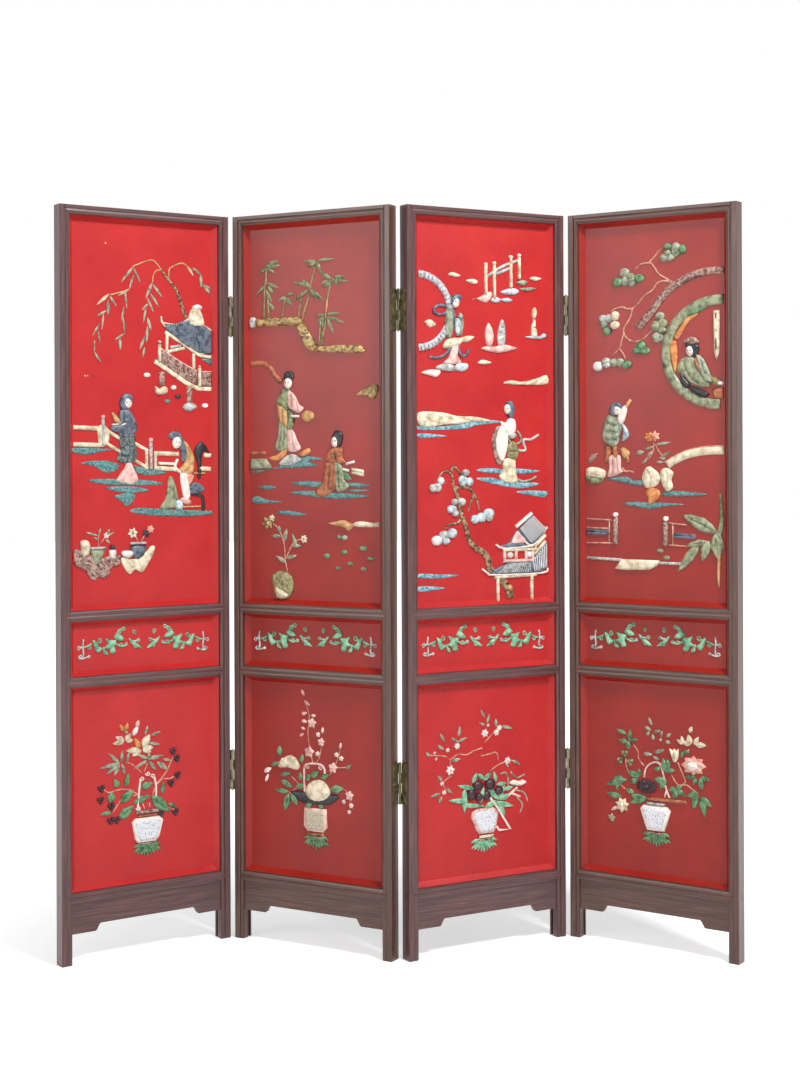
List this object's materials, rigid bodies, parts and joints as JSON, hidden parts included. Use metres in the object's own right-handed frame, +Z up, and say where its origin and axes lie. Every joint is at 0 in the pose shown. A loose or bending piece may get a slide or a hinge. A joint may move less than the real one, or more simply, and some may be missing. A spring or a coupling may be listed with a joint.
{
  "type": "folding screen",
  "caption": "Folding floor screen: framed, hinged leaves of reeded hardwood with recessed red lacquer boards, shaped aprons and short legs.",
  "frame": {"origin": "on the floor at the middle of the standing screen's bounding box", "axes": "+Z up, +X to the right seen from the front, -Y out of the front"},
  "size_m": [1.658, 0.2852, 1.83],
  "materials": {
    "frame_wood": "dark stained hardwood, waxed",
    "lacquer_panel": "red lacquer, satin",
    "hinge_brass": "aged brass"
  },
  "bodies": {
    "leaf_1": {"leaf_1_left_stile": "frame_wood", "leaf_1_right_stile": "frame_wood", "leaf_1_top_rail": "frame_wood", "leaf_1_upper_mid_rail": "frame_wood", "leaf_1_lower_mid_rail": "frame_wood", "leaf_1_bottom_rail": "frame_wood", "leaf_1_apron": "frame_wood", "leaf_1_upper_panel": "lacquer_panel", "leaf_1_middle_panel": "lacquer_panel", "leaf_1_lower_panel": "lacquer_panel", "hinge_12_lower_left_plate": "hinge_brass", "hinge_12_lower_pin": "hinge_brass", "hinge_12_upper_left_plate": "hinge_brass", "hinge_12_upper_pin": "hinge_brass"},
    "leaf_2": {"leaf_2_left_stile": "frame_wood", "leaf_2_right_stile": "frame_wood", "leaf_2_top_rail": "frame_wood", "leaf_2_upper_mid_rail": "frame_wood", "leaf_2_lower_mid_rail": "frame_wood", "leaf_2_bottom_rail": "frame_wood", "leaf_2_apron": "frame_wood", "leaf_2_upper_panel": "lacquer_panel", "leaf_2_middle_panel": "lacquer_panel", "leaf_2_lower_panel": "lacquer_panel", "hinge_12_lower_right_plate": "hinge_brass", "hinge_12_upper_right_plate": "hinge_brass", "hinge_23_lower_left_plate": "hinge_brass", "hinge_23_lower_pin": "hinge_brass", "hinge_23_upper_left_plate": "hinge_brass", "hinge_23_upper_pin": "hinge_brass"},
    "leaf_3": {"leaf_3_left_stile": "frame_wood", "leaf_3_right_stile": "frame_wood", "leaf_3_top_rail": "frame_wood", "leaf_3_upper_mid_rail": "frame_wood", "leaf_3_lower_mid_rail": "frame_wood", "leaf_3_bottom_rail": "frame_wood", "leaf_3_apron": "frame_wood", "leaf_3_upper_panel": "lacquer_panel", "leaf_3_middle_panel": "lacquer_panel", "leaf_3_lower_panel": "lacquer_panel", "hinge_23_lower_right_plate": "hinge_brass", "hinge_23_upper_right_plate": "hinge_brass", "hinge_34_lower_left_plate": "hinge_brass", "hinge_34_lower_pin": "hinge_brass", "hinge_34_upper_left_plate": "hinge_brass", "hinge_34_upper_pin": "hinge_brass"},
    "leaf_4": {"leaf_4_left_stile": "frame_wood", "leaf_4_right_stile": "frame_wood", "leaf_4_top_rail": "frame_wood", "leaf_4_upper_mid_rail": "frame_wood", "leaf_4_lower_mid_rail": "frame_wood", "leaf_4_bottom_rail": "frame_wood", "leaf_4_apron": "frame_wood", "leaf_4_upper_panel": "lacquer_panel", "leaf_4_middle_panel": "lacquer_panel", "leaf_4_lower_panel": "lacquer_panel", "hinge_34_lower_right_plate": "hinge_brass", "hinge_34_upper_right_plate": "hinge_brass"}
  },
  "joints": [
    {"name": "fold_12", "type": "hinge", "parent": "leaf_2", "child": "leaf_1", "pos_m": [-0.42609, 0.11216, 1], "axis": [0, 0, 1], "range_deg": [-63, 117]},
    {"name": "fold_23", "type": "hinge", "parent": "leaf_2", "child": "leaf_3", "pos_m": [0, -0.07829, 1], "axis": [0, 0, 1], "range_deg": [-58, 122]},
    {"name": "fold_34", "type": "hinge", "parent": "leaf_3", "child": "leaf_4", "pos_m": [0.42609, 0.11216, 1], "axis": [0, 0, 1], "range_deg": [-117, 63]}
  ]
}
